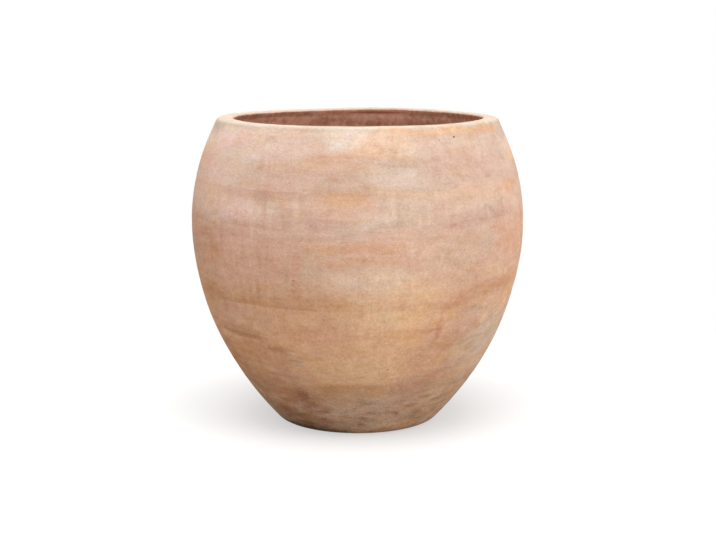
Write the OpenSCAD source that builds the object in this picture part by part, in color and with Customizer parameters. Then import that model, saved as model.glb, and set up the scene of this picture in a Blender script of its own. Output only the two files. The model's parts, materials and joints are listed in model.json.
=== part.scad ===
// Round-bellied terracotta planter, hand built from a floor slab, rising wall courses and a rim coil.
// Sizes are in millimetres. The origin is the middle of the foot, on the ground, with Z up the pot's axis.

/* [Overall] */
// Height from the ground to the top of the rim
height = 550; // [510:1:610]
// Widest outside diameter, at the belly
belly_d = 600; // [540:1:680]
// Height of the widest place above the ground, which is also the joint in the middle of the belly
belly_z = 366; // [330:1:410]

/* [Wall] */
// Thickness of the wall
wall = 25; // [18:1:32]
// Radius of the outline from the belly up to the rim
shoulder_radius = 370; // [320:1:450]
// Radius of the outline of the lower belly course
lower_belly_radius = 465; // [400:1:540]
// Radius of the outline of the flank course
flank_radius = 520; // [450:1:620]
// Radius of the outline of the foot course and the floor slab
foot_radius = 610; // [500:1:800]

/* [Foot] */
// Radius of the rounded heel
heel_round = 30; // [12:1:40]
// Thickness of the floor slab
floor_t = 32; // [22:1:42]
// Diameter of the drain hole
drain_d = 40; // [20:1:70]
// Radius of the clay pressed into the corner between the floor and the wall
inside_round = 45; // [20:1:60]

/* [Joints between the courses] */
// Height of the joint on top of the foot course, where it shows outside
foot_joint_z = 111; // [90:1:140]
// Height of the joint on top of the flank course
flank_joint_z = 249; // [200:1:290]
// Height of the joint on top of the upper belly course
shoulder_joint_z = 446; // [425:1:470]
// Height of the rim coil on the outside
rim_coil_h = 26; // [20:1:36]
// Bevel of the joints, in degrees away from square through the wall
joint_bevel = 20; // [0:1:35]

/* [Lip] */
// Radius of the rim's outer edge
lip_outer_round = 9; // [3:1:11]
// Radius of the rim's inner edge
lip_inner_round = 3; // [2:1:9]

/* [Hidden] */
$fn = 240;

belly_r = belly_d / 2;
drain_r = drain_d / 2;

// How far the waste of a rounded edge reaches, as a multiple of the edge's radius.
corner_spare = 1.2;

// The two arcs that meet at the belly stand upright there. Going down, each arc takes over at a joint
// from the one above it, at the same slope.
shoulder_c = [belly_r - shoulder_radius, belly_z];
lower_belly_c = [belly_r - lower_belly_radius, belly_z];
flank_c = handover(lower_belly_c, lower_belly_radius, flank_joint_z, flank_radius);
foot_c = handover(flank_c, flank_radius, foot_joint_z, foot_radius);

// Joints between the courses, from the foot up.
foot_joint = joint(flank_c, flank_radius, foot_joint_z);
flank_joint = joint(lower_belly_c, lower_belly_radius, flank_joint_z);
belly_joint = joint(shoulder_c, shoulder_radius, belly_z);
shoulder_joint = joint(shoulder_c, shoulder_radius, shoulder_joint_z);
rim_joint = joint(shoulder_c, shoulder_radius, height - rim_coil_h);

// Centres of the rounded edges: the heel, the pressed corner inside and the two edges of the lip.
heel_c = on_arc(foot_c, foot_radius - heel_round, heel_round);
inside_c = on_arc(foot_c, foot_radius - wall - inside_round, floor_t + inside_round);
lip_outer_c = on_arc(shoulder_c, shoulder_radius - lip_outer_round, height - lip_outer_round);
lip_inner_c = on_arc(shoulder_c, shoulder_radius - wall + lip_inner_round, height - lip_inner_round);

// Unit vector at a bearing, in degrees from straight out, and the bearing from one point to another.
function toward(bearing) = [cos(bearing), sin(bearing)];
function bearing(from, to) = atan2(to.y - from.y, to.x - from.x);

// Point of an arc about c, on its outer side, at height z.
function on_arc(c, radius, z) = [c.x + sqrt(radius ^ 2 - (z - c.y) ^ 2), z];

// Centre of the arc that takes over at height z from the arc about c.
function handover(c, radius, z, next_radius) =
    on_arc(c, radius, z) + (c - on_arc(c, radius, z)) * next_radius / radius;

// A joint is the point where it shows outside and its bearing from there into the wall: square to the
// arc about c, but for the bevel, which lifts its inner edge.
function joint(c, radius, z) = [on_arc(c, radius, z), bearing(on_arc(c, radius, z), c) - joint_bevel];

module disc(c, radius) {
    translate(c) circle(radius);
}

// What is taken off a corner, between two bearings about c, to leave it round. Its tip reaches past the corner,
// however sharp that is.
module corner_waste(c, round, from, to) {
    past = corner_spare * round;
    tip = past / cos((to - from) / 2);
    difference() {
        polygon([c, c + past * toward(from), c + tip * toward((from + to) / 2), c + past * toward(to)]);
        disc(c, round);
    }
}

// Everything on one side of a joint: side is 1 above it and -1 below it.
module joint_side(joint, side) {
    far = height + belly_d;
    along = far * toward(joint[1]);
    away = side * far * toward(joint[1] - 90);
    polygon([joint[0] + along, joint[0] - along, joint[0] - along + away, joint[0] + along + away]);
}

// Everything between the floor and the level of the rim.
module above_floor() {
    translate([0, floor_t]) square([belly_d, height - floor_t]);
}

// Section of the wall along the arc about c, from the floor to the level of the rim.
module wall_arc(c, radius) {
    intersection() {
        difference() {
            disc(c, radius);
            disc(c, radius - wall);
        }
        above_floor();
    }
}

// Clay pressed into the corner, from the floor up to where it runs out on the wall. It is what lies between the
// rounded corner and the middle of the wall, within the angle from straight down to the wall.
module pressed_corner() {
    wall_bearing = bearing(foot_c, inside_c);
    past = inside_round + wall;
    difference() {
        intersection() {
            polygon([
                inside_c,
                inside_c + past * toward(-90),
                inside_c + 2 * past * toward((wall_bearing - 90) / 2),
                inside_c + past * toward(wall_bearing)
            ]);
            disc(foot_c, foot_radius - wall / 2);
            above_floor();
        }
        disc(inside_c, inside_round);
    }
}

// Ring of wall along the arc about c, between two joints.
module course(c, radius, lower_joint, upper_joint) {
    rotate_extrude() intersection() {
        wall_arc(c, radius);
        joint_side(lower_joint, 1);
        joint_side(upper_joint, -1);
    }
}

module floor_slab() {
    color("#8f6b50") rotate_extrude() difference() {
        intersection() {
            disc(foot_c, foot_radius);
            translate([drain_r, 0]) square([belly_d, floor_t]);
        }
        corner_waste(heel_c, heel_round, -90, bearing(foot_c, heel_c));
    }
}

module foot_course() {
    color("#a58063") rotate_extrude() intersection() {
        union() {
            wall_arc(foot_c, foot_radius);
            pressed_corner();
        }
        joint_side(foot_joint, -1);
    }
}

module flank_course() {
    color("#c79b73") course(flank_c, flank_radius, foot_joint, flank_joint);
}

module lower_belly_course() {
    color("#d0a284") course(lower_belly_c, lower_belly_radius, flank_joint, belly_joint);
}

module upper_belly_course() {
    color("#d8b097") course(shoulder_c, shoulder_radius, belly_joint, shoulder_joint);
}

module shoulder_course() {
    color("#e0bea4") course(shoulder_c, shoulder_radius, shoulder_joint, rim_joint);
}

module rim_coil() {
    color("#efd6bc") rotate_extrude() difference() {
        intersection() {
            wall_arc(shoulder_c, shoulder_radius);
            joint_side(rim_joint, 1);
        }
        corner_waste(lip_outer_c, lip_outer_round, bearing(shoulder_c, lip_outer_c), 90);
        corner_waste(lip_inner_c, lip_inner_round, 90, 180 + bearing(shoulder_c, lip_inner_c));
    }
}

floor_slab();
foot_course();
flank_course();
lower_belly_course();
upper_belly_course();
shoulder_course();
rim_coil();
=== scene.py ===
"""A large hand-built terracotta planter.

Its shaped clay, its wiped and weathered surface, the stage and the camera.
"""
import json
import math
import random

import bmesh
import bpy
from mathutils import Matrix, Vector, noise


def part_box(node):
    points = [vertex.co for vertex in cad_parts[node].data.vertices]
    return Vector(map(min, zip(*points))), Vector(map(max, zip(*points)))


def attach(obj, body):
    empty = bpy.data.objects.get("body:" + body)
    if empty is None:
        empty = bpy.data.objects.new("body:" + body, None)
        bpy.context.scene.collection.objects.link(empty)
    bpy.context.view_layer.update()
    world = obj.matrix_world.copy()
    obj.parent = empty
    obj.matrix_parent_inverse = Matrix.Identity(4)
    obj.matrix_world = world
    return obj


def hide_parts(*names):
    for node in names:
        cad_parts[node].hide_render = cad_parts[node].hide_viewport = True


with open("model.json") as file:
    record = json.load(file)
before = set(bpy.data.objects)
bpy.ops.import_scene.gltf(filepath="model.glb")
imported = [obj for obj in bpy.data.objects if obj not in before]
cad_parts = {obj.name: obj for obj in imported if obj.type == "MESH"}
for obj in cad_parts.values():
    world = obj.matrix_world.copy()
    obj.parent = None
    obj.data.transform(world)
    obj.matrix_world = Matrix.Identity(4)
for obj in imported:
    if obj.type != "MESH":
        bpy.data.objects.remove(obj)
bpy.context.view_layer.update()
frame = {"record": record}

# Sizes in metres. Heights, the widest radius and the drain hole come from the frame, and the rest are
# those of the clay pieces.
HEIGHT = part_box("rim_coil")[1].z
BELLY_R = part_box("upper_belly_course")[1].x
FLOOR_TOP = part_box("floor_slab")[1].z
FOOT_JOINT_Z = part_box("flank_course")[0].z
FLANK_JOINT_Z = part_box("lower_belly_course")[0].z
BELLY_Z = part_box("upper_belly_course")[0].z
SHOULDER_JOINT_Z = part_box("shoulder_course")[0].z
RIM_COIL_HEIGHT = 0.026
RIM_JOINT_Z = HEIGHT - RIM_COIL_HEIGHT
MOUNTS = {mount["name"]: mount for mount in frame["record"]["mounts"]}
DRAIN_R = MOUNTS["drain_hole"]["dims"]["r_mm"] / 1000
WALL = 0.025
SHOULDER_RADIUS = 0.370
LOWER_BELLY_RADIUS = 0.465
FLANK_RADIUS = 0.520
FOOT_RADIUS = 0.610
HEEL_ROUND = 0.030
INSIDE_ROUND = 0.045
LIP_OUTER_ROUND = 0.009
LIP_INNER_ROUND = 0.003
DRAIN_EDGE_ROUND = 0.004
JOINT_BEVEL = math.radians(20)

# How finely the clay is modelled: the slices of a turn and the steps in each, the distance within
# which points merge, and the spacing of rows up the outside, up the inside and round the edges
SLICES = 30
SLICE_STEPS = 20
MERGE_WITHIN = 1e-5
OUTSIDE_ROW = 0.0026
INSIDE_ROW = 0.006
ROUND_ROW = 0.0012


# The outline, as points (radius, height)
def on_arc(centre, radius, z):
    """Point of an arc about centre, on its outer side, at height z."""
    return Vector((centre.x + math.sqrt(radius**2 - (z - centre.y) ** 2), z))


def handover(centre, radius, z, next_radius):
    """Centre of the arc that takes over at height z, at the same slope."""
    edge = on_arc(centre, radius, z)
    return edge + (centre - edge) * (next_radius / radius)


SHOULDER_C = Vector((BELLY_R - SHOULDER_RADIUS, BELLY_Z))
LOWER_BELLY_C = Vector((BELLY_R - LOWER_BELLY_RADIUS, BELLY_Z))
FLANK_C = handover(LOWER_BELLY_C, LOWER_BELLY_RADIUS, FLANK_JOINT_Z, FLANK_RADIUS)
FOOT_C = handover(FLANK_C, FLANK_RADIUS, FOOT_JOINT_Z, FOOT_RADIUS)


def outline_arc(z):
    """Centre and radius of the arc that the outside follows at height z."""
    if z >= BELLY_Z:
        return SHOULDER_C, SHOULDER_RADIUS
    if z >= FLANK_JOINT_Z:
        return LOWER_BELLY_C, LOWER_BELLY_RADIUS
    if z >= FOOT_JOINT_Z:
        return FLANK_C, FLANK_RADIUS
    return FOOT_C, FOOT_RADIUS


def outside_r(z):
    """Radius of the outside at height z, before the hand's unevenness."""
    return on_arc(*outline_arc(z), z).x


def joint_ends(centre, radius, z):
    """The outer and inner end of the bevelled joint at height z, for a wall along the arc about centre."""
    outer = on_arc(centre, radius, z)
    square = (centre - outer).normalized()
    inward = Vector((
        square.x * math.cos(JOINT_BEVEL) + square.y * math.sin(JOINT_BEVEL),
        square.y * math.cos(JOINT_BEVEL) - square.x * math.sin(JOINT_BEVEL),
    ))
    along = radius * math.cos(JOINT_BEVEL)
    length = along - math.sqrt(along**2 - 2 * radius * WALL + WALL**2)
    return outer, outer + inward * length


class Section:
    """Half section of a ring of clay, drawn from point to point and then turned about the pot's axis."""

    def __init__(self, start):
        self.bm = bmesh.new()
        self.first = self.bm.verts.new((start.x, 0, start.y))
        self.tip = self.first

    def where(self):
        return Vector((self.tip.co.x, self.tip.co.z))

    def line(self, end, row):
        """Straight on to end."""
        steps = max(1, round((end - self.where()).length / row))
        step = (end - self.where()) / steps
        for _ in range(steps):
            made = bmesh.ops.extrude_vert_indiv(self.bm, verts=[self.tip])
            self.tip = made["verts"][0]
            bmesh.ops.translate(self.bm, verts=[self.tip], vec=(step.x, 0, step.y))
        return self

    def arc(self, centre, end, row):
        """Round centre to end, the shorter way."""
        start = self.where() - centre
        turn = start.angle_signed(end - centre)
        steps = max(2, round(start.length * abs(turn) / row))
        made = bmesh.ops.spin(
            self.bm,
            geom=[self.tip],
            cent=(centre.x, 0, centre.y),
            axis=(0, 1, 0),
            angle=turn,
            steps=steps,
        )
        self.tip = next(part for part in made["geom_last"] if isinstance(part, bmesh.types.BMVert))
        return self

    def turned(self):
        """Close the section and turn it into a ring: first one slice, then the slice copied round."""
        self.bm.edges.new((self.tip, self.first))
        bmesh.ops.remove_doubles(self.bm, verts=self.bm.verts, dist=MERGE_WITHIN)
        slice_turn = math.tau / SLICES
        axis = {"cent": (0, 0, 0), "axis": (0, 0, 1)}
        outline = self.bm.verts[:] + self.bm.edges[:]
        bmesh.ops.spin(self.bm, geom=outline, angle=slice_turn, steps=SLICE_STEPS, **axis)
        one_slice = self.bm.verts[:] + self.bm.edges[:] + self.bm.faces[:]
        bmesh.ops.spin(
            self.bm,
            geom=one_slice,
            angle=math.tau - slice_turn,
            steps=SLICES - 1,
            use_duplicate=True,
            **axis,
        )
        bmesh.ops.remove_doubles(self.bm, verts=self.bm.verts, dist=MERGE_WITHIN)
        bmesh.ops.recalc_face_normals(self.bm, faces=self.bm.faces)
        return self.bm


def edge_round(centre, radius, round_radius, z):
    """Centre of a rounded edge at height z that touches the arc of the given radius about centre."""
    return on_arc(centre, radius - round_radius, z)


def touch(centre, radius, round_centre):
    """Where a rounded edge touches the arc about centre."""
    return centre + (round_centre - centre).normalized() * radius


def wall_course(centre, radius, lower_z, upper_z):
    """A ring of wall along one arc, between two joints."""
    lower_outer, lower_inner = joint_ends(centre, radius, lower_z)
    upper_outer, upper_inner = joint_ends(centre, radius, upper_z)
    section = Section(lower_outer)
    section.arc(centre, upper_outer, OUTSIDE_ROW)
    section.line(upper_inner, WALL)
    section.arc(centre, lower_inner, INSIDE_ROW)
    return section.turned()


def floor_slab():
    """The slab that the pot stands on, with its rounded heel and the drain hole's softened edges."""
    heel = edge_round(FOOT_C, FOOT_RADIUS, HEEL_ROUND, HEEL_ROUND)
    soft = DRAIN_EDGE_ROUND
    section = Section(Vector((DRAIN_R + soft, 0)))
    section.line(Vector((heel.x, 0)), 2 * INSIDE_ROW)
    section.arc(heel, touch(FOOT_C, FOOT_RADIUS, heel), ROUND_ROW)
    section.arc(FOOT_C, on_arc(FOOT_C, FOOT_RADIUS, FLOOR_TOP), OUTSIDE_ROW)
    section.line(Vector((DRAIN_R + soft, FLOOR_TOP)), 2 * INSIDE_ROW)
    section.arc(Vector((DRAIN_R + soft, FLOOR_TOP - soft)), Vector((DRAIN_R, FLOOR_TOP - soft)), ROUND_ROW)
    section.line(Vector((DRAIN_R, soft)), INSIDE_ROW)
    section.arc(Vector((DRAIN_R + soft, soft)), Vector((DRAIN_R + soft, 0)), ROUND_ROW)
    return section.turned()


def foot_course():
    """The first ring of wall, with the clay pressed into the corner on the floor."""
    outer, inner = joint_ends(FOOT_C, FOOT_RADIUS, FOOT_JOINT_Z)
    pressed = edge_round(FOOT_C, FOOT_RADIUS - WALL, INSIDE_ROUND, FLOOR_TOP + INSIDE_ROUND)
    section = Section(on_arc(FOOT_C, FOOT_RADIUS, FLOOR_TOP))
    section.arc(FOOT_C, outer, OUTSIDE_ROW)
    section.line(inner, WALL)
    section.arc(FOOT_C, touch(FOOT_C, FOOT_RADIUS - WALL, pressed), INSIDE_ROW)
    section.arc(pressed, Vector((pressed.x, FLOOR_TOP)), INSIDE_ROW)
    return section.turned()


def rim_coil():
    """The coil that ends the wall, with its two softened edges."""
    outer, inner = joint_ends(SHOULDER_C, SHOULDER_RADIUS, RIM_JOINT_Z)
    lip_outer = edge_round(SHOULDER_C, SHOULDER_RADIUS, LIP_OUTER_ROUND, HEIGHT - LIP_OUTER_ROUND)
    lip_inner = edge_round(SHOULDER_C, SHOULDER_RADIUS - WALL, -LIP_INNER_ROUND, HEIGHT - LIP_INNER_ROUND)
    section = Section(outer)
    section.arc(SHOULDER_C, touch(SHOULDER_C, SHOULDER_RADIUS, lip_outer), OUTSIDE_ROW)
    section.arc(lip_outer, Vector((lip_outer.x, HEIGHT)), ROUND_ROW)
    section.line(Vector((lip_inner.x, HEIGHT)), OUTSIDE_ROW)
    section.arc(lip_inner, touch(SHOULDER_C, SHOULDER_RADIUS - WALL, lip_inner), ROUND_ROW)
    section.arc(SHOULDER_C, inner, INSIDE_ROW)
    return section.turned()


# The hand's unevenness. Of each kind: the most that it moves the clay either way, the size of its lumps
# round the pot and their height up it, all in metres, and a seed.
SWELLS = (0.0014, 0.16, 0.12, 3.1)
SPONGE_RIDGES = (0.00018, 0.40, 0.011, 7.7)
FINE_RIDGES = (0.00008, 0.20, 0.0055, 1.3)
INSIDE_SWELLS = (0.0020, 0.14, 0.08, 6.3)
LIP_WAVERS = (0.0010, 0.17, 1.0, 4.4)
LIP_NICKS = (0.0004, 0.03, 1.0, 8.1)

# Joints worn to shallow grooves: how they wander, how they come and go and from where to where that
# shows, their depth and their half width
GROOVES_WANDER = (0.004, 0.15, 1.0, 5.2)
GROOVES_COME_AND_GO = (1.0, 0.12, 1.0, 9.4)
GROOVES_SHOW = (-0.2, 0.5)
GROOVE_DEPTH = 0.0007
GROOVE_HALF_WIDTH = 0.004

# Finger ridges inside: their depth, their spacing up the wall, and how they wander, in radians
FINGER_DEPTH = 0.0012
FINGER_SPACING = 0.034
FINGERS_WANDER = (2.5, 0.25, 0.15, 2.2)

# How far the lip rises at the sides, tips forward, and rises behind on the right, and where and how
# widely that last rise lies
LIP_SIDES = 0.0015
LIP_TIP = 0.0010
LIP_BEHIND = 0.0031
LIP_BEHIND_BEARING = math.radians(12)
LIP_BEHIND_SPREAD = math.radians(28)

# The height over which the unevenness comes in, so that the foot stands true
TRUE_FOOT = 0.02


def smooth(low, high, value):
    """Runs smoothly from 0 at low to 1 at high."""
    part = min(1.0, max(0.0, (value - low) / (high - low)))
    return part * part * (3 - 2 * part)


def uneven(x, y, z, most, size, height, seed):
    """Soft noise up to most either way, in lumps of the given size round the pot and height up it."""
    return most * noise.noise(Vector((x / size + seed, y / size - seed, z / height + seed)))


def outside_relief(x, y, z):
    """How far the outside stands proud: broad swells, level ridges from the sponge and worn joints."""
    proud = sum(uneven(x, y, z, *kind) for kind in (SWELLS, SPONGE_RIDGES, FINE_RIDGES))
    for joint_z in (FOOT_JOINT_Z, FLANK_JOINT_Z, BELLY_Z, SHOULDER_JOINT_Z):
        wander = uneven(x, y, joint_z, *GROOVES_WANDER)
        shows = smooth(*GROOVES_SHOW, uneven(x, y, joint_z, *GROOVES_COME_AND_GO))
        off = (z - joint_z - wander) / GROOVE_HALF_WIDTH
        proud -= GROOVE_DEPTH * shows * math.exp(-off * off)
    return proud


def inside_relief(x, y, z):
    """How far the inside bulges outward: finger ridges and broad swells."""
    wander = uneven(x, y, z, *FINGERS_WANDER)
    fingers = FINGER_DEPTH * math.sin(math.tau * z / FINGER_SPACING + wander)
    return fingers + uneven(x, y, z, *INSIDE_SWELLS)


def lip_rise(x, y):
    """How far the rim stands above true: it wavers, rises at the sides, tips forward, rises behind."""
    wavers = uneven(x, y, 0.0, *LIP_WAVERS) + uneven(x, y, 0.0, *LIP_NICKS)
    sides = LIP_SIDES * x * x / (x * x + y * y)
    tips = LIP_TIP * (1 + y / math.hypot(x, y))
    from_behind = (math.atan2(x, y) - LIP_BEHIND_BEARING) / LIP_BEHIND_SPREAD
    return wavers + sides + tips + LIP_BEHIND * math.exp(-from_behind * from_behind)


def wall_depth(x, y, z):
    """0 on the outside, 1 on the inside, and between them through the wall."""
    centre, radius = outline_arc(z)
    from_outside = radius - (Vector((math.hypot(x, y), z)) - centre).length
    return min(1.0, max(0.0, from_outside / WALL))


def shape_by_hand(bm):
    """Push every point of a turned piece a little out of true.

    Its depth in the wall and its true level are noted on the mesh, for the material.
    """
    noted_depth = bm.verts.layers.float.new("depth")
    noted_level = bm.verts.layers.float.new("level")
    for vert in bm.verts:
        x, y, z = vert.co
        depth = wall_depth(x, y, z)
        vert[noted_depth] = depth
        vert[noted_level] = z
        off_floor = smooth(0.0, TRUE_FOOT, z)
        relief = (1 - depth) * outside_relief(x, y, z) + depth * inside_relief(x, y, z)
        at_lip = smooth(RIM_JOINT_Z, HEIGHT, z)
        lift = at_lip * lip_rise(x, y)
        outward = Vector((x, y, 0)).normalized()
        vert.co += outward * (relief * off_floor) + Vector((0, 0, lift))


# Materials
class Socket:
    """One output of a shader node. Arithmetic on it adds Math nodes to the same material."""

    def __init__(self, tree, output=None):
        self.tree = tree
        self.output = output

    def node(self, kind, settings, inputs, output=0):
        """Add a node: first its settings, then the values or links of its sockets.

        Gives one of its outputs, if any.
        """
        made = self.tree.nodes.new(kind)
        for name, value in settings.items():
            if name == "stops":
                set_stops(made.color_ramp, value)
            else:
                setattr(made, name, value)
        for name, value in inputs.items():
            if isinstance(value, Socket):
                self.tree.links.new(value.output, made.inputs[name])
            else:
                made.inputs[name].default_value = value
        return None if output is None else Socket(self.tree, made.outputs[output])

    def math(self, operation, *values):
        return self.node("ShaderNodeMath", {"operation": operation}, dict(enumerate(values)))

    def __add__(self, other):
        return self.math("ADD", self, other)

    def __sub__(self, other):
        return self.math("SUBTRACT", self, other)

    def __rsub__(self, other):
        return self.math("SUBTRACT", other, self)

    def __mul__(self, other):
        return self.math("MULTIPLY", self, other)

    __radd__ = __add__
    __rmul__ = __mul__


def set_stops(ramp, stops):
    """Give a colour ramp its stops, each a position and a colour."""
    first, *rest = stops
    ramp.elements.remove(ramp.elements[1])
    ramp.elements[0].position, ramp.elements[0].color = first
    for position, colour in rest:
        ramp.elements.new(position).color = colour


def clay(code):
    """A colour as it looks on screen, such as d8b097, in the linear values that shaders take."""
    parts = [int(code[i : i + 2], 16) / 255 for i in (0, 2, 4)]
    return (*(p / 12.92 if p <= 0.04045 else ((p + 0.055) / 1.055) ** 2.4 for p in parts), 1.0)


def fade(value, low, high, full=1.0):
    """Mask that runs smoothly from 0 at low to its full strength at high.

    The smooth step stays between these two by itself, so the node's own clamp is off.
    """
    return value.node(
        "ShaderNodeMapRange",
        {"interpolation_type": "SMOOTHSTEP", "clamp": False},
        {"Value": value, "From Min": low, "From Max": high, "To Max": full},
    )


def mix(factor, first, second, blend="MIX"):
    """Mix two colours, by a mask."""
    tool = factor if isinstance(factor, Socket) else first
    settings = {"data_type": "RGBA", "blend_type": blend}
    return tool.node("ShaderNodeMix", settings, {0: factor, 6: first, 7: second}, 2)


def clouds(position, size, height, seed, detail):
    """Noise about 0, with lumps of the given size round the pot and height up it."""
    placing = {
        "Vector": position,
        "Location": (seed, -seed, 0.5 * seed),
        "Scale": (1 / size, 1 / size, 1 / height),
    }
    placed = position.node("ShaderNodeMapping", {}, placing)
    return position.node("ShaderNodeTexNoise", {}, {"Vector": placed, "Scale": 1.0, "Detail": detail}) - 0.5


def together(noises, shares):
    """Noises added up, each by its share."""
    return sum(share * noises[name] for name, share in shares.items())


# The clay's colours, as they look on screen in even light
PALETTE = {
    "lime": "dcd0c4",
    "cream": "e2c8b0",
    "shell": "f0cec4",
    "blush": "d9b09a",
    "pink": "d8a48c",
    "mauve": "c49e8f",
    "ash": "bfa896",
    "beige": "cdb096",
    "straw": "ecc8a0",
    "ochre": "d6a473",
    "peach": "e6b892",
    "orange": "d69d74",
    "rust": "b97e58",
    "umber": "8a5f44",
    "olive": "a58a66",
    "loam": "7d6249",
    "brick": "935b45",
    # This dark brown is both a real dark spot and painted shade in pits and at the heel
    "dark_stain_and_shade": "5c4434",
}

# The clay's colour from the ground up: height in metres and colour
CLAY_BY_HEIGHT = (
    (0.000, "bc997c"),
    (0.014, "dab392"),
    (0.030, "cea383"),
    (0.056, "ca9f7e"),
    (0.090, "c89b78"),
    (0.106, "cfa27d"),
    (0.116, "deac84"),
    (0.180, "e1af87"),
    (0.215, "e2b08b"),
    (0.252, "ddae89"),
    (0.310, "dcb297"),
    (0.380, "d7b19b"),
    (0.415, "d4b19b"),
    (0.450, "ccab97"),
    (0.520, "c1a796"),
    (0.543, "bfa796"),
    (0.548, "baaa9a"),
)

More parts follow.
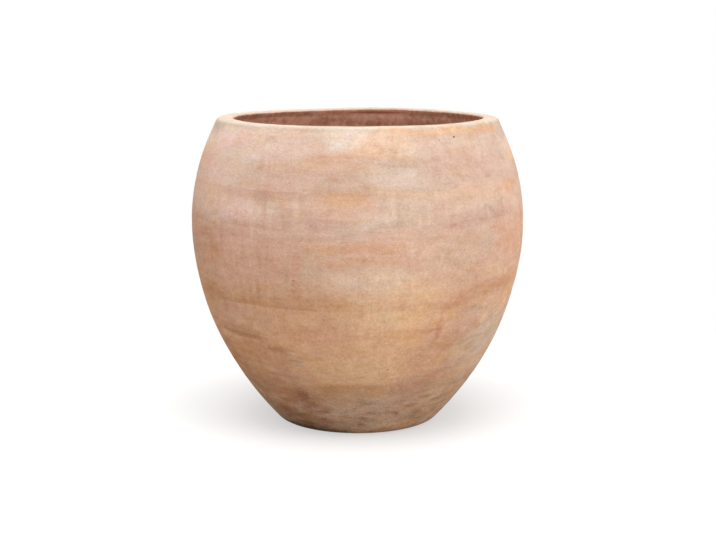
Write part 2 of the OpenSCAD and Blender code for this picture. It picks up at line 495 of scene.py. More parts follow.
# Smears of the front: bearing from the front in degrees (to the right positive), height, half width and
# half height in millimetres, how far the right end climbs in degrees, colour and strength. Later ones lie
# over earlier ones.
FRONT_SMEARS = (
    (-38, 517, 110, 22, 0, "shell", 0.26),
    (-58, 524, 55, 20, 0, "shell", 0.34),
    (-84, 490, 90, 40, 0, "orange", 0.25),
    (-30, 489, 130, 11, 1, "ochre", 0.12),
    (-70, 475, 105, 55, 0, "blush", 0.50),
    (-50, 462, 110, 18, 0, "lime", 0.16),
    (22, 470, 95, 50, 0, "ash", 0.55),
    (-58, 480, 60, 35, 0, "shell", 0.20),
    (2, 490, 75, 40, 0, "umber", 0.10),
    (-11, 492, 60, 20, 1, "rust", 0.22),
    (32, 484, 110, 28, 0, "umber", 0.16),
    (12, 542, 75, 6, 0, "umber", 0.12),
    (40, 541, 90, 9, 0, "umber", 0.12),
    (-5, 530, 36, 20, 0, "lime", 0.45),
    (10, 526, 52, 22, 0, "straw", 0.28),
    (44, 541, 130, 5, 0, "ochre", 0.40),
    (62, 540, 50, 7, 0, "orange", 0.30),
    (58, 541, 45, 9, 0, "umber", 0.10),
    (-40, 541, 110, 6, 0, "cream", 0.28),
    (3, 507, 72, 9, 1, "orange", 0.22),
    (41, 490, 85, 30, -2, "mauve", 0.40),
    (62, 520, 40, 18, 0, "ash", 0.16),
    (14, 468, 62, 16, 0, "lime", 0.32),
    (34, 473, 70, 8, 0, "mauve", 0.20),
    (45, 440, 130, 14, 0, "peach", 0.18),
    (-54, 426, 90, 28, 0, "peach", 0.14),
    (-54, 426, 90, 28, 0, "shell", 0.12),
    (-42, 412, 62, 20, 0, "shell", 0.42),
    (-17, 412, 75, 26, 0, "blush", 0.40),
    (13, 416, 45, 18, 0, "lime", 0.16),
    (-14, 397, 60, 14, -3, "mauve", 0.34),
    (6, 391, 62, 12, 7, "ash", 0.40),
    (8, 402, 48, 7, 13, "lime", 0.26),
    (12, 412, 60, 14, 3, "beige", 0.35),
    (42, 398, 95, 15, 2, "mauve", 0.62),
    (50, 416, 36, 13, 4, "ash", 0.35),
    (2, 357, 95, 9, 0, "orange", 0.44),
    (1, 336, 75, 6, 0, "orange", 0.38),
    (-42, 336, 120, 52, 0, "pink", 0.50),
    (-78, 364, 130, 42, 0, "rust", 0.42),
    (44, 360, 110, 110, 0, "ash", 0.24),
    (-84, 300, 130, 52, 0, "rust", 0.36),
    (-14, 321, 24, 22, 0, "ash", 0.28),
    (-27, 308, 40, 18, 0, "pink", 0.30),
    (4, 302, 74, 25, 0, "cream", 0.58),
    (20, 325, 70, 16, 2, "beige", 0.25),
    (43, 355, 16, 9, 0, "ash", 0.40),
    (70, 356, 90, 34, 0, "ochre", 0.36),
    (66, 446, 50, 10, 0, "orange", 0.40),
    (48, 296, 70, 32, 0, "rust", 0.16),
    (48, 267, 110, 17, 3, "rust", 0.34),
    (64, 280, 45, 20, 6, "orange", 0.35),
    (-76, 262, 110, 24, 0, "ochre", 0.40),
    (-74, 232, 105, 42, 0, "rust", 0.34),
    (8, 272, 70, 20, 0, "straw", 0.36),
    (17, 292, 24, 14, 0, "straw", 0.32),
    (-46, 222, 58, 28, 0, "mauve", 0.34),
    (-9, 216, 45, 34, 0, "pink", 0.34),
    (-24, 205, 78, 46, 0, "orange", 0.24),
    (-62, 262, 50, 20, 0, "rust", 0.22),
    (-60, 338, 55, 36, 0, "rust", 0.20),
    (-62, 235, 60, 50, 0, "umber", 0.08),
    (-46, 155, 90, 32, 0, "rust", 0.46),
    (-74, 132, 90, 52, 0, "rust", 0.52),
    (4, 230, 120, 22, 0, "straw", 0.28),
    (9, 235, 50, 15, 0, "straw", 0.50),
    (33, 219, 26, 19, 0, "orange", 0.45),
    (43, 212, 36, 42, 0, "mauve", 0.48),
    (30, 178, 40, 34, 14, "mauve", 0.42),
    (60, 186, 95, 46, 20, "beige", 0.70),
    (44, 168, 42, 44, 0, "umber", 0.12),
    (60, 100, 40, 20, 0, "umber", 0.12),
    (66, 168, 60, 52, 0, "cream", 0.28),
    (6, 150, 110, 42, 0, "straw", 0.32),
    (28, 162, 52, 62, 0, "rust", 0.24),
    (34, 120, 70, 24, 8, "mauve", 0.36),
    (38, 102, 70, 18, 4, "umber", 0.10),
    (68, 130, 80, 90, 0, "ash", 0.38),
    (-30, 122, 42, 14, 0, "mauve", 0.28),
    (-42, 116, 75, 24, 0, "umber", 0.14),
    (-2, 104, 60, 8, 0, "rust", 0.25),
    (-30, 48, 45, 38, 0, "umber", 0.27),
    (-33, 58, 48, 50, 0, "rust", 0.54),
    (6, 68, 52, 48, 0, "straw", 0.14),
    (-44, 104, 40, 14, 0, "rust", 0.22),
    (-48, 80, 55, 45, 0, "rust", 0.16),
    # Painted shade: the lower left side darkened where less light falls
    (-78, 90, 75, 90, 0, "umber", 0.30),
    (-50, 30, 60, 26, 0, "umber", 0.40),
    # Painted shade: the lower left of the heel darkened
    (-30, 10, 62, 12, 0, "umber", 0.42),
    (10, 55, 60, 24, 0, "ash", 0.25),
    (16, 74, 60, 12, 4, "ash", 0.30),
    (25, 86, 40, 26, 0, "mauve", 0.30),
    (25, 88, 40, 26, 0, "rust", 0.16),
    (42, 82, 34, 14, 10, "cream", 0.20),
    (44, 30, 30, 15, 10, "umber", 0.20),
    (44, 58, 40, 16, 14, "olive", 0.22),
    (8, 26, 60, 7, 2, "ash", 0.30),
    (26, 18, 36, 6, 8, "orange", 0.30),
    (18, 13, 55, 10, 4, "peach", 0.40),
    (-42, 252, 66, 46, 0, "pink", 0.24),
    (-42, 234, 60, 26, 0, "orange", 0.14),
    (-52, 384, 62, 22, 0, "mauve", 0.24),
    (-35, 453, 62, 16, 0, "pink", 0.26),
    (20, 408, 64, 28, 0, "ash", 0.22),
    (18, 284, 46, 22, 0, "straw", 0.22),
    (38, 350, 62, 36, 0, "olive", 0.10),
    (52, 232, 42, 18, 0, "ash", 0.34),
    (56, 256, 36, 10, 0, "ash", 0.25),
    (53, 302, 42, 14, 0, "straw", 0.30),
    (53, 376, 38, 14, 0, "rust", 0.22),
    (40, 114, 52, 20, 0, "olive", 0.22),
    (-54, 90, 42, 14, 0, "umber", 0.28),
    (-56, 532, 52, 12, 0, "lime", 0.24),
    (-46, 494, 44, 12, 0, "lime", 0.20),
    (-4, 460, 44, 16, 0, "olive", 0.18),
    (-5, 431, 44, 9, 0, "ochre", 0.28),
    (25, 545, 54, 5, 0, "orange", 0.20),
    (45, 46, 42, 11, 0, "mauve", 0.28),
)

# Stains that start sharply at a joint: the joint's height, how far they fade (upward positive), bearing,
# half width in millimetres, colour and strength
JOINT_STAINS = (
    (FLANK_JOINT_Z, 0.044, -28, 130, "rust", 0.40),
    (FOOT_JOINT_Z, -0.030, 4, 120, "rust", 0.20),
    (SHOULDER_JOINT_Z, -0.020, -17, 120, "rust", 0.24),
    (SHOULDER_JOINT_Z, -0.016, 18, 120, "orange", 0.16),
    (RIM_JOINT_Z + 0.012, -0.008, -30, 140, "orange", 0.18),
)

# Small marks of the front that keep their shape, given in the same way
FINE_MARKS = (
    (-52, 195, 76, 11, -2, "rust", 0.46),
    (-48, 190, 62, 4.5, -2, "umber", 0.32),
    (-32, 171, 26, 4, -3, "umber", 0.20),
    (-27, 173, 17, 3, -9, "rust", 0.36),
    (-26, 168, 15, 2.5, -9, "beige", 0.28),
    (-26, 163, 18, 3, -8, "umber", 0.20),
    (-25, 158, 15, 2.5, -8, "ash", 0.30),
    (-25, 153, 17, 3, -7, "umber", 0.20),
    (-25, 146, 18, 4, -5, "ash", 0.36),
    # Painted shadow: a dark line low on the left where the heel meets the floor
    (-41, 3, 90, 11, 0, "dark_stain_and_shade", 0.85),
    (10, 14, 60, 9, 3, "peach", 0.26),
    (-27, 86, 12, 13, 0, "brick", 0.52),
    (-25, 78, 7, 9, 0, "dark_stain_and_shade", 0.20),
    (-14, 72, 18, 8, 0, "blush", 0.34),
    (26, 13, 40, 9, 6, "orange", 0.45),
    (-27.5, 60, 9, 19, 0, "umber", 0.30),
    (-26, 441, 190, 8, 0, "brick", 0.06),
    (-33, 440, 18, 12, 0, "brick", 0.12),
    (-4, 441, 34, 8, 0, "rust", 0.14),
    (-4, 437, 38, 11, 0, "ochre", 0.30),
    (-50, 526, 13, 14, 0, "mauve", 0.35),
    (20, 397, 4, 16, 0, "lime", 0.24),
    (23, 400, 3, 14, 0, "lime", 0.20),
    (-33, 395, 3, 26, 0, "lime", 0.20),
    (-31, 372, 3, 22, 0, "ash", 0.20),
    (-36, 385, 4, 24, 0, "lime", 0.18),
    (52, 186, 42, 4, 22, "lime", 0.26),
    (50, 158, 38, 4, 22, "lime", 0.22),
    (55, 210, 34, 5, 22, "mauve", 0.30),
    (48, 140, 34, 5, 20, "mauve", 0.26),
    (57, 232, 30, 4, 20, "lime", 0.20),
    (45, 417, 10, 4, 25, "lime", 0.26),
    (49, 411, 12, 4, -30, "umber", 0.18),
    (55, 418, 12, 6, 20, "umber", 0.18),
    (-17, 446, 3, 2, 0, "lime", 0.40),
    (-24, 352, 13, 30, 0, "pink", 0.30),
    (34, 200, 24, 10, 0, "rust", 0.16),
    (35, 236, 16, 15, 0, "ochre", 0.28),
    (-50, 57, 30, 8, 0, "brick", 0.24),
    (15, 513, 17, 6, 0, "umber", 0.16),
    (-10, 232, 20, 14, 0, "orange", 0.34),
    (-10, 228, 16, 12, 0, "brick", 0.10),
    (-20, 285, 11, 17, 0, "rust", 0.30),
    (-35, 276, 5, 24, 0, "brick", 0.16),
    (17, 26, 32, 8, 4, "cream", 0.32),
    (-8, 52, 20, 10, 0, "cream", 0.26),
    (33, 38, 24, 9, 8, "loam", 0.26),
    (-15, 170, 50, 9, -2, "pink", 0.24),
    (-24.5, 311, 12, 10, 0, "olive", 0.32),
    (-13, 352, 26, 14, 0, "ochre", 0.24),
    (34, 213, 14, 9, 0, "straw", 0.28),
    (-24, 63, 10, 14, 0, "umber", 0.26),
    (-23, 32, 24, 8, -4, "umber", 0.24),
    (-14, 13, 30, 7, 0, "umber", 0.22),
    (28, 13, 34, 7, 6, "peach", 0.30),
    (-57, 290, 24, 9, 0, "umber", 0.14),
    (-47, 531, 17, 11, 0, "pink", 0.34),
    (-33, 527, 12, 9, 0, "umber", 0.16),
    (-18, 521, 44, 7, 0, "rust", 0.16),
    (-22, 410, 8, 15, 0, "mauve", 0.42),
    (-28, 418, 15, 13, 0, "lime", 0.28),
    (-33, 430, 20, 6, 0, "brick", 0.12),
    (10, 511, 14, 7, 0, "olive", 0.26),
)

# Marks of the inside, given in the same way: a dark band just under the far lip, which is painted shade
INSIDE_SHADE_MARKS = (
    (171, 546.8, 62, 2.6, 0, "brick", 0.90),
)

# Smears of the sides and back, of the same kinds: how many, the lowest and highest height, half width and
# half height in millimetres, colour and strength. The seed sets them out between two bearings, and gives
# each its size, as a share of these, and its climb in degrees.
BACK_SMEARS = (
    (5, 440, 535, 110, 18, "cream", 0.45),
    (3, 450, 540, 60, 12, "lime", 0.36),
    (4, 430, 540, 90, 15, "peach", 0.42),
    (4, 380, 510, 110, 22, "mauve", 0.45),
    (5, 260, 400, 130, 42, "pink", 0.45),
    (4, 270, 420, 110, 8, "orange", 0.50),
    (3, 270, 400, 70, 18, "cream", 0.50),
    (3, 280, 400, 60, 14, "ash", 0.30),
    (4, 120, 250, 110, 30, "straw", 0.42),
    (4, 120, 250, 80, 26, "orange", 0.40),
    (3, 120, 240, 70, 28, "mauve", 0.45),
    (3, 120, 230, 80, 24, "beige", 0.48),
    (4, 20, 100, 60, 18, "olive", 0.42),
    (3, 20, 105, 55, 18, "rust", 0.36),
    (3, 15, 90, 30, 20, "umber", 0.42),
)
BACK_SEED = 23
BACK_BEARINGS = (76, 284)
BACK_SIZES = (0.6, 1.3)
BACK_CLIMBS = (-6, 6)

# Pits, where a grain fell out: bearing in degrees, height, half width and half height in millimetres
PITS = (
    (38.0, 531.5, 2.6, 1.4),
    (31.0, 527.5, 1.0, 0.8),
    (-21.0, 300.0, 1.4, 1.1),
    (12.0, 141.0, 1.5, 1.0),
    (118.0, 502.0, 2.6, 1.6),
    (164.0, 377.0, 1.8, 1.5),
    (201.0, 466.0, 2.2, 1.2),
    (247.0, 288.0, 2.0, 1.6),
)

# The clay's noises: the size of their lumps round the pot and their height up it in metres, a seed, and
# how finely they are broken up
NOISES = {
    "sand": (0.0024, 0.0020, 5.0, 1.0),
    "grit": (0.0055, 0.0045, 9.0, 2.0),
    "streaks": (0.070, 0.0130, 2.0, 2.0),
    "lines": (0.016, 0.0028, 14.0, 2.0),
    "mottle": (0.016, 0.013, 91.0, 2.0),
    "strokes": (0.013, 0.080, 21.0, 4.0),
    "stroked": (0.050, 0.060, 31.0, 2.0),
    "dirt": (0.030, 0.010, 71.0, 4.0),
    "patches": (0.074, 0.026, 51.0, 3.0),
    "blots": (0.027, 0.0125, 61.0, 3.0),
    "drift_along": (0.060, 0.035, 17.0, 2.0),
    "drift_up": (0.070, 0.040, 27.0, 2.0),
    "inside_blotches": (0.060, 0.030, 41.0, 2.0),
    "inside_flecks": (0.009, 0.011, 81.0, 3.0),
}

# How far smears drift, along in radians and up in metres, and what makes the edges of smears and of
# small marks ragged
DRIFT_ALONG = 0.30
DRIFT_UP = 0.022
SMEAR_RAG = {"streaks": 1.2, "blots": 0.5}
MARK_RAG = {"sand": 1.2, "lines": 0.6}

# Where a mark begins and where it is full, as squares of the distance from its middle
SMEAR_EDGE = (1.7, 0.05)
STAIN_EDGE = (1.5, 0.2)
PIT_EDGE = (1.3, 0.4)

# How ragged, and within what distance sharp, a stain is at its joint, in metres
STAIN_RAG = 0.004
STAIN_SHARP = 0.0012

# How far the streaks shift the clay's colour by height, as a share of the height
STREAKS_SHIFT = 0.016

# Dirt from the ground: the heights where it begins and is full, then the colour, where its noise is
# full, and strength
DIRT_HEIGHTS = (0.120, 0.040)
DIRT = (
    ("loam", 0.20, 0.58),
    ("beige", -0.20, 0.60),
)

# The inside's light and dark clay, what blotches it, and where the blotches begin and are full
INSIDE_LIGHT = "e0bca8"
INSIDE_DARK = "b48c78"
INSIDE_BLOTCHES = {"inside_blotches": 0.5, "inside_flecks": 0.5}
BLOTCHES_SHOW = (-0.16, 0.16)

# The heights over which the painted shade on the inside under the lip comes in from below and from above
UNDER_LIP_BELOW = (0.5360, 0.5420)
UNDER_LIP_ABOVE = (0.5478, 0.5466)

# The depths in the wall where the inside's colour begins and is full
INSIDE_BEGINS = (0.92, 0.99)

# What a patch multiplies the clay's colour by
ROSY = (1.03, 0.93, 0.92, 1.0)
GOLDEN = (1.04, 1.00, 0.86, 1.0)
LIMED = (1.07, 1.10, 1.14, 1.0)
BURNT = (0.93, 0.86, 0.78, 1.0)
# Painted shade: the inside is multiplied by this just under the lip
SHADED = (0.66, 0.54, 0.48, 1.0)

# How strongly patches, blots and streaks show, and where in their noise they begin and are full
PATCHES_SHOW = 0.70
PATCHES_EDGE = (0.0, 0.22)
BLOTS_SHOW = 0.65
BLOTS_EDGE = (0.0, 0.24)
STREAKS_SHOW = 0.70
STREAKS_EDGE = (0.02, 0.26)

# The surface is coarser low down: by how much, how much of that goes higher up, and between what heights
COARSE = 1.12
FINER = 0.30
FINER_HEIGHTS = (0.20, 0.44)

# The grain's shares of each noise, how much more sand shows near the ground, and how strongly the
# grain shows in each channel
GRAIN = {"sand": 0.32, "grit": 0.34, "lines": 0.08, "mottle": 0.22}
SANDY_FOOT = 0.46
GRAIN_SHOWS = {"Red": 0.80, "Green": 1.28, "Blue": 1.38}

# Upright strokes: their share of the grain, where in their noise they begin and are full, and their
# place on the left of the belly, given as a smear is, with its edge and strength
STROKES = 0.50
STROKES_BEGIN = (0.0, 0.18)
STROKED_BELLY = (-32, 350, 130, 110)
STROKED_BELLY_EDGE = (1.7, 0.1)
STROKED_BELLY_SHOWS = 0.70

# Specks: the size of their cells in metres, a seed, the share of cells that have one, colour and
# strength; then the edge of a speck, in cells, and how sharply cells are picked
SPECKS = (
    (0.007, 3.0, 0.40, "umber", 0.28),
    (0.010, 8.0, 0.30, "lime", 0.25),
)
SPECK_EDGE = (0.20, 0.10)
SPECK_PICK = 0.02

# How dark the painted shade in pits is and how deep pits are, the relief's share of each noise, its
# strength and its depth in metres
PIT_PAINTED_SHADE = 0.85
PIT_DEEP = 1.5
BUMPS = {"sand": 0.5, "lines": 0.2, "streaks": 0.4, "grit": 0.4}
BUMP_STRENGTH = 0.8
BUMP_DISTANCE = 0.0009

# The clay's dull shine
ROUGHNESS = 0.90
ROUGHNESS_VARIES = 0.25
SPECULAR = 0.25


class Surface:
    """Where a point lies on the outside: its bearing from the front and the back, and its height."""

    def __init__(self, position, drift_along, drift_up, rag):
        x, y, z = (position.node("ShaderNodeSeparateXYZ", {}, {"Vector": position}, axis) for axis in "XYZ")
        self.height = z + drift_up
        self.from_front = x.math("ARCTAN2", x, 0 - y) + drift_along
        self.from_back = x.math("ARCTAN2", 0 - x, y) + drift_along
        self.rag = rag

    def reach(self, bearing, height_mm, half_width_mm, half_height_mm, climb=0.0):
        """Square of the distance from a spot on the outside, where 1 is the spot's edge, made ragged."""
        front = -90 <= bearing <= 90
        turn = self.from_front if front else self.from_back
        middle = math.radians(bearing if front else bearing - 180)
        per_turn = 1000 * outside_r(height_mm / 1000) / half_width_mm
        across = turn.math("MULTIPLY_ADD", turn, per_turn, -middle * per_turn)
        up = turn.math("MULTIPLY_ADD", self.height, 1000 / half_height_mm, -height_mm / half_height_mm)
        if climb:
            rise = math.tan(math.radians(climb)) * half_width_mm / half_height_mm
            up = turn.math("MULTIPLY_ADD", across, -rise, up)
        return turn.math("MULTIPLY_ADD", up, up, turn.math("MULTIPLY_ADD", across, across, self.rag))


def back_smears():
    """The smears of the sides and back, set out by chance from a fixed seed."""
    chance = random.Random(BACK_SEED)
    for count, low, high, half_width, half_height, colour, strength in BACK_SMEARS:
        for _ in range(count):
            bearing = chance.uniform(*BACK_BEARINGS)
            size = chance.uniform(*BACK_SIZES)
            height = chance.uniform(low, high)
            climb = chance.uniform(*BACK_CLIMBS)
            yield bearing, height, half_width * size, half_height * size, climb, colour, strength


def paint_smears(colour, surface, smears):
    """Lay smears over the clay's colour, with edges ragged along the wiping."""
    for bearing, height, half_width, half_height, climb, name, strength in smears:
        reach = surface.reach(bearing, height, half_width, half_height, climb)
        colour = mix(fade(reach, *SMEAR_EDGE, strength), colour, clay(PALETTE[name]))
    return colour


def paint_joint_stains(colour, surface, level, streaks):
    """Lay the stains that start sharply at a joint."""
    for joint_z, runs, bearing, half_width, name, strength in JOINT_STAINS:
        reach = surface.reach(bearing, 1000 * joint_z, half_width, half_width)
        above = (level - joint_z) * math.copysign(1.0, runs) + STAIN_RAG * streaks
        band = fade(above, -STAIN_SHARP, STAIN_SHARP) * fade(above, abs(runs), 0.0)
        colour = mix(band * fade(reach, *STAIN_EDGE, strength), colour, clay(PALETTE[name]))
    return colour


def outside_colour(level, noises, surface, true_surface, near_ground):
    """The outside: clay by height, smears, stains from the joints, dirt from the ground, small marks, and
    painted shade and shadow low on the left.
    """
    stops = [(z / HEIGHT, clay(code)) for z, code in CLAY_BY_HEIGHT]
    up = level * (1 / HEIGHT) + STREAKS_SHIFT * noises["streaks"]
    colour = up.node("ShaderNodeValToRGB", {"stops": stops}, {"Fac": up})
    colour = paint_smears(colour, surface, (*FRONT_SMEARS, *back_smears()))
    colour = paint_joint_stains(colour, surface, level, noises["streaks"])
    for name, full, strength in DIRT:
        dirty = near_ground * fade(noises["dirt"], 0.0, full, strength)
        colour = mix(dirty, colour, clay(PALETTE[name]))
    return paint_smears(colour, true_surface, FINE_MARKS)


def inside_colour(level, noises, true_surface):
    """The inside: blotched clay, painted shade under the lip, and a painted shade band under the far lip.
    """
    blotched = fade(together(noises, INSIDE_BLOTCHES), *BLOTCHES_SHOW)
    colour = mix(blotched, clay(INSIDE_LIGHT), clay(INSIDE_DARK))
    painted_shade_under_lip = fade(level, *UNDER_LIP_BELOW) * fade(level, *UNDER_LIP_ABOVE)
    colour = mix(painted_shade_under_lip, colour, SHADED, "MULTIPLY")
    return paint_smears(colour, true_surface, INSIDE_SHADE_MARKS)


def tint(colour, lumps, edge, strength, high, low):
    """Multiply the clay's colour by one tint where lumps are high and by another where they are low."""
    begins, full = edge
    colour = mix(strength * fade(lumps, begins, full), colour, high, "MULTIPLY")
    return mix(strength * fade(lumps, -begins, -full), colour, low, "MULTIPLY")


def specks(position, size, seed, share):
    """Small specks, in a share of the cells of the given size."""
    placed = position.node("ShaderNodeMapping", {}, {"Vector": position, "Location": (seed, seed, seed)})
    cells = {"Vector": placed, "Scale": 1 / size}
    near = position.node("ShaderNodeTexVoronoi", {}, cells, "Distance")
    pick = position.node("ShaderNodeTexVoronoi", {}, cells, "Color")
    red = position.node("ShaderNodeSeparateColor", {}, {"Color": pick}, "Red")
    return fade(near, *SPECK_EDGE) * fade(red, 1 - share, 1 - share + SPECK_PICK)


def pits(true_surface):
    """Mask of all the pits."""
    pitted = fade(true_surface.reach(*PITS[0]), *PIT_EDGE)
    for pit in PITS[1:]:
        pitted = pitted.math("MAXIMUM", pitted, fade(true_surface.reach(*pit), *PIT_EDGE))
    return pitted


def wiped_terracotta():
    """Unglazed fired clay, wiped level with a sponge: smears, streaks, sandy grain, specks and pits, with
    painted shade in the pits, under the lip and low on the left.
    """
    material = bpy.data.materials.new("wiped_terracotta")
    material.use_nodes = True
    start = Socket(material.node_tree)
    position = start.node("ShaderNodeTexCoord", {}, {}, "Object")
    level = start.node("ShaderNodeAttribute", {"attribute_name": "level"}, {}, "Fac")
    depth = start.node("ShaderNodeAttribute", {"attribute_name": "depth"}, {}, "Fac")
    noises = {name: clouds(position, *kind) for name, kind in NOISES.items()}
    drift_along = DRIFT_ALONG * noises["drift_along"]
    drift_up = DRIFT_UP * noises["drift_up"]
    surface = Surface(position, drift_along, drift_up, together(noises, SMEAR_RAG))
    true_surface = Surface(position, 0.0, 0.0, together(noises, MARK_RAG))
    near_ground = fade(level, *DIRT_HEIGHTS)

    outside = outside_colour(level, noises, surface, true_surface, near_ground)
    inside = inside_colour(level, noises, true_surface)
    colour = mix(fade(depth, *INSIDE_BEGINS), outside, inside)

    coarse = COARSE - FINER * fade(level, *FINER_HEIGHTS)
    colour = tint(colour, noises["patches"], PATCHES_EDGE, PATCHES_SHOW, ROSY, GOLDEN)
    colour = tint(colour, noises["blots"], BLOTS_EDGE, BLOTS_SHOW * coarse, LIMED, BURNT)
    colour = tint(colour, noises["streaks"], STREAKS_EDGE, STREAKS_SHOW * coarse, LIMED, BURNT)

    left_belly = fade(surface.reach(*STROKED_BELLY), *STROKED_BELLY_EDGE, STROKED_BELLY_SHOWS)
    stroked = left_belly.math("MAXIMUM", fade(noises["stroked"], *STROKES_BEGIN), left_belly)
    grain = together(noises, GRAIN) + SANDY_FOOT * near_ground * noises["sand"]
    grain = grain + STROKES * stroked * noises["strokes"]
    tone = {channel: 1 + share * coarse * grain for channel, share in GRAIN_SHOWS.items()}
    colour = mix(1.0, colour, grain.node("ShaderNodeCombineColor", {}, tone), "MULTIPLY")

    for size, seed, share, name, strength in SPECKS:
        colour = mix(strength * specks(position, size, seed, share), colour, clay(PALETTE[name]))
    pitted = pits(true_surface)
    # Painted shade: each pit is darkened as if shade fell in its hollow
    colour = mix(PIT_PAINTED_SHADE * pitted, colour, clay(PALETTE["dark_stain_and_shade"]))
    roughness = ROUGHNESS + ROUGHNESS_VARIES * noises["grit"]
    height = together(noises, BUMPS) - PIT_DEEP * pitted
    relief = {"Height": height, "Strength": BUMP_STRENGTH, "Distance": BUMP_DISTANCE}
    normal = height.node("ShaderNodeBump", {}, relief, "Normal")

    shader = material.node_tree.nodes["Principled BSDF"]
    shader.inputs["Specular IOR Level"].default_value = SPECULAR
    links = material.node_tree.links
    links.new(colour.output, shader.inputs["Base Color"])
    links.new(roughness.output, shader.inputs["Roughness"])
    links.new(normal.output, shader.inputs["Normal"])
    return material


# The pieces. Edges that turn more than this stay sharp.
SHARP_EDGE = math.radians(40)


def place(name, bm, material):
    """Make a shaped piece of clay an object that stands for its node."""
    shape_by_hand(bm)
    mesh = bpy.data.meshes.new(name)
    bm.to_mesh(mesh)
    bm.free()
    mesh.shade_smooth()
    mesh.set_sharp_from_angle(angle=SHARP_EDGE)
    mesh.materials.append(material)
    piece = bpy.data.objects.new(name, mesh)
    bpy.context.scene.collection.objects.link(piece)
    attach(piece, "root")
    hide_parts(name.removeprefix("shaped_"))


terracotta = wiped_terracotta()
place("shaped_floor_slab", floor_slab(), terracotta)
place("shaped_foot_course", foot_course(), terracotta)
place("shaped_flank_course", wall_course(FLANK_C, FLANK_RADIUS, FOOT_JOINT_Z, FLANK_JOINT_Z), terracotta)
place(
    "shaped_lower_belly_course",
    wall_course(LOWER_BELLY_C, LOWER_BELLY_RADIUS, FLANK_JOINT_Z, BELLY_Z),
    terracotta,
)
place(
    "shaped_upper_belly_course",
    wall_course(SHOULDER_C, SHOULDER_RADIUS, BELLY_Z, SHOULDER_JOINT_Z),
    terracotta,
)
place(
    "shaped_shoulder_course",
    wall_course(SHOULDER_C, SHOULDER_RADIUS, SHOULDER_JOINT_Z, RIM_JOINT_Z),
    terracotta,
)
place("shaped_rim_coil", rim_coil(), terracotta)

# The stage: a pale floor that shows white to the camera and keeps the pot's shadow. The white takes over
# from the shadow between two distances, in metres.
WHITE = (1.0, 1.0, 1.0, 1.0)
FLOOR_HALF = 30.0
FLOOR_SHOWN = (0.92, 0.92, 0.92, 1.0)
FLOOR_BOUNCE = (0.45, 0.45, 0.45, 1.0)
SHADOW_SHOWS = 0.45
SHADOW_FADES = (0.35, 1.2)


def seen_rays(start):
    """1 for rays that show the stage: the camera's, and those mirrored in gloss or passed through glass."""
    kinds = ("Camera", "Glossy", "Transmission")
    rays = [start.node("ShaderNodeLightPath", {}, {}, f"Is {kind} Ray") for kind in kinds]
    return rays[0].math("MINIMUM", rays[0] + rays[1] + rays[2], 1.0)


def stage_floor():
    """A wide floor, white where it is seen, and grey where it throws light back at the pot."""
    bm = bmesh.new()
    bmesh.ops.create_grid(bm, x_segments=1, y_segments=1, size=FLOOR_HALF)
    mesh = bpy.data.meshes.new("stage_floor")
    bm.to_mesh(mesh)
    bm.free()
    material = bpy.data.materials.new("stage_floor")
    material.use_nodes = True
    material.node_tree.nodes.clear()
    start = Socket(material.node_tree)
    seen = seen_rays(start)
    position = start.node("ShaderNodeTexCoord", {}, {}, "Object")
    away = position.node("ShaderNodeVectorMath", {"operation": "LENGTH"}, {0: position}, "Value")
    white = seen * ((1 - SHADOW_SHOWS) + SHADOW_SHOWS * fade(away, *SHADOW_FADES))
    lit = start.node("ShaderNodeBsdfDiffuse", {}, {"Color": mix(seen, FLOOR_BOUNCE, FLOOR_SHOWN)})
    glow = start.node("ShaderNodeEmission", {}, {"Color": WHITE, "Strength": 1.0})
    shown = start.node("ShaderNodeMixShader", {}, {0: white, 1: lit, 2: glow})
    start.node("ShaderNodeOutputMaterial", {}, {"Surface": shown}, None)
    mesh.materials.append(material)
    floor = bpy.data.objects.new("stage_floor", mesh)
    bpy.context.scene.collection.objects.link(floor)


stage_floor()

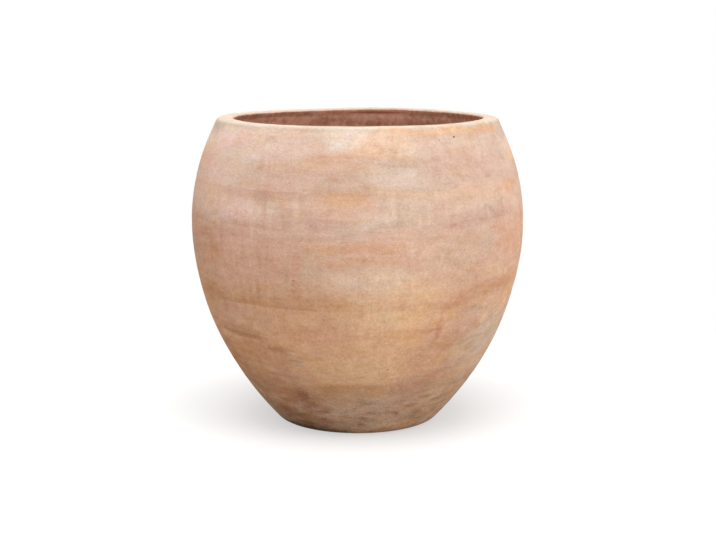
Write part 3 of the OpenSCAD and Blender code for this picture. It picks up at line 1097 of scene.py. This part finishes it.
# Daylight: an even pale sky, a large softbox overhead and a weaker one on the right
SKY_LEVEL = 0.50
OVERHEAD = {"at": Vector((0.0, -0.7, 3.2)), "size": 3.2, "energy": 150.0}
RIGHT_SIDE = {"at": Vector((2.6, -1.3, 0.7)), "size": 1.8, "energy": 27.0}


def sky():
    """The even light from all round, in front of a white backdrop."""
    world = bpy.data.worlds.new("daylight")
    bpy.context.scene.world = world
    world.use_nodes = True
    world.node_tree.nodes.clear()
    start = Socket(world.node_tree)
    lighting = start.node("ShaderNodeBackground", {}, {"Color": WHITE, "Strength": SKY_LEVEL})
    backdrop = start.node("ShaderNodeBackground", {}, {"Color": WHITE, "Strength": 1.0})
    shown = start.node("ShaderNodeMixShader", {}, {0: seen_rays(start), 1: lighting, 2: backdrop})
    start.node("ShaderNodeOutputWorld", {}, {"Surface": shown}, None)


def softbox(name, at, size, energy):
    """A square lamp that faces the pot's widest place."""
    light = bpy.data.lights.new(name, "AREA")
    light.energy = energy
    light.size = size
    lamp = bpy.data.objects.new(name, light)
    lamp.location = at
    lamp.rotation_euler = (Vector((0, 0, BELLY_Z)) - at).to_track_quat("-Z", "Y").to_euler()
    bpy.context.scene.collection.objects.link(lamp)


sky()
softbox("overhead_softbox", **OVERHEAD)
softbox("right_softbox", **RIGHT_SIDE)

# The camera, at the photograph's viewing angle, in an image of 716 by 540 pixels
IMAGE_WIDTH_PX = 716
SENSOR_WIDTH_MM = 36.0
FOCAL_PX = 1471.0
CAMERA_DISTANCE = 2.70
CAMERA_ELEVATION = math.radians(9.55)
AIM = Vector((0.0009, 0, 0.2719))

lens = bpy.data.cameras.new("camera")
lens.sensor_width = SENSOR_WIDTH_MM
lens.lens = FOCAL_PX / IMAGE_WIDTH_PX * SENSOR_WIDTH_MM
camera = bpy.data.objects.new("camera", lens)
back_from_aim = Vector((0, -math.cos(CAMERA_ELEVATION), math.sin(CAMERA_ELEVATION)))
camera.location = AIM + CAMERA_DISTANCE * back_from_aim
camera.rotation_euler = (AIM - camera.location).to_track_quat("-Z", "Y").to_euler()
bpy.context.scene.collection.objects.link(camera)
bpy.context.scene.camera = camera
bpy.context.scene.view_settings.view_transform = "Standard"
